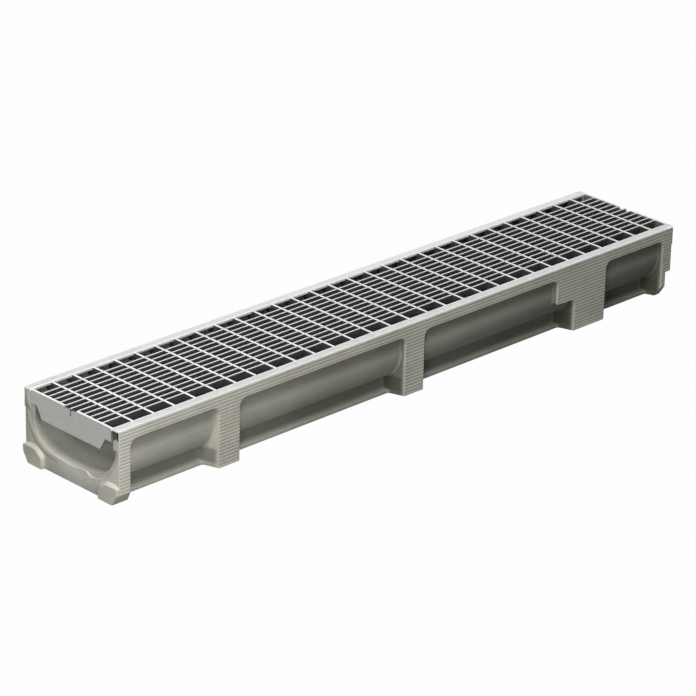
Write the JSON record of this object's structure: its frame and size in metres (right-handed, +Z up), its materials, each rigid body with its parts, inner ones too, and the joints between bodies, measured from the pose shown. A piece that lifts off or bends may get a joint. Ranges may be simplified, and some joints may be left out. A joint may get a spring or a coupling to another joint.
{
  "type": "channel drain",
  "caption": "Low linear drainage channel with a round-floored water way, side legs, steel edge rails and a lift-out mesh grating.",
  "frame": {"origin": "on the base plane, under the middle of the channel's length and width", "axes": "+X along the run towards the end with the foot recesses, +Y across, +Z up"},
  "size_m": [1.004, 0.176, 0.1],
  "materials": {
    "cast_body": "fine cast fibre concrete, matt, beige grey",
    "rail_steel": "hot-dip galvanised, satin",
    "grate_steel": "hot-dip galvanised, satin"
  },
  "bodies": {
    "root": {"bearing_bar_01": "grate_steel", "bearing_bar_02": "grate_steel", "bearing_bar_03": "grate_steel", "bearing_bar_04": "grate_steel", "bearing_bar_05": "grate_steel", "bearing_bar_06": "grate_steel", "bearing_bar_07": "grate_steel", "bearing_bar_08": "grate_steel", "bearing_bar_09": "grate_steel", "bearing_bar_10": "grate_steel", "bearing_bar_11": "grate_steel", "bearing_bar_12": "grate_steel", "bearing_bar_13": "grate_steel", "bearing_bar_14": "grate_steel", "bearing_bar_15": "grate_steel", "bearing_bar_16": "grate_steel", "bearing_bar_17": "grate_steel", "bearing_bar_18": "grate_steel", "bearing_bar_19": "grate_steel", "bearing_bar_20": "grate_steel", "bearing_bar_21": "grate_steel", "bearing_bar_22": "grate_steel", "bearing_bar_23": "grate_steel", "bearing_bar_24": "grate_steel", "bearing_bar_25": "grate_steel", "bearing_bar_26": "grate_steel", "bearing_bar_27": "grate_steel", "bearing_bar_28": "grate_steel", "bearing_bar_29": "grate_steel", "channel_body": "cast_body", "edge_rail_left": "rail_steel", "edge_rail_right": "rail_steel", "edge_strip_left": "grate_steel", "edge_strip_right": "grate_steel", "end_plate_far": "grate_steel", "end_plate_near": "grate_steel", "lengthwise_bar_01": "grate_steel", "lengthwise_bar_02": "grate_steel", "lengthwise_bar_03": "grate_steel", "lengthwise_bar_04": "grate_steel", "lengthwise_bar_05": "grate_steel", "lengthwise_bar_06": "grate_steel", "lengthwise_bar_07": "grate_steel", "lengthwise_bar_08": "grate_steel", "lengthwise_bar_09": "grate_steel", "lengthwise_bar_10": "grate_steel", "lengthwise_bar_11": "grate_steel"}
  },
  "joints": []
}
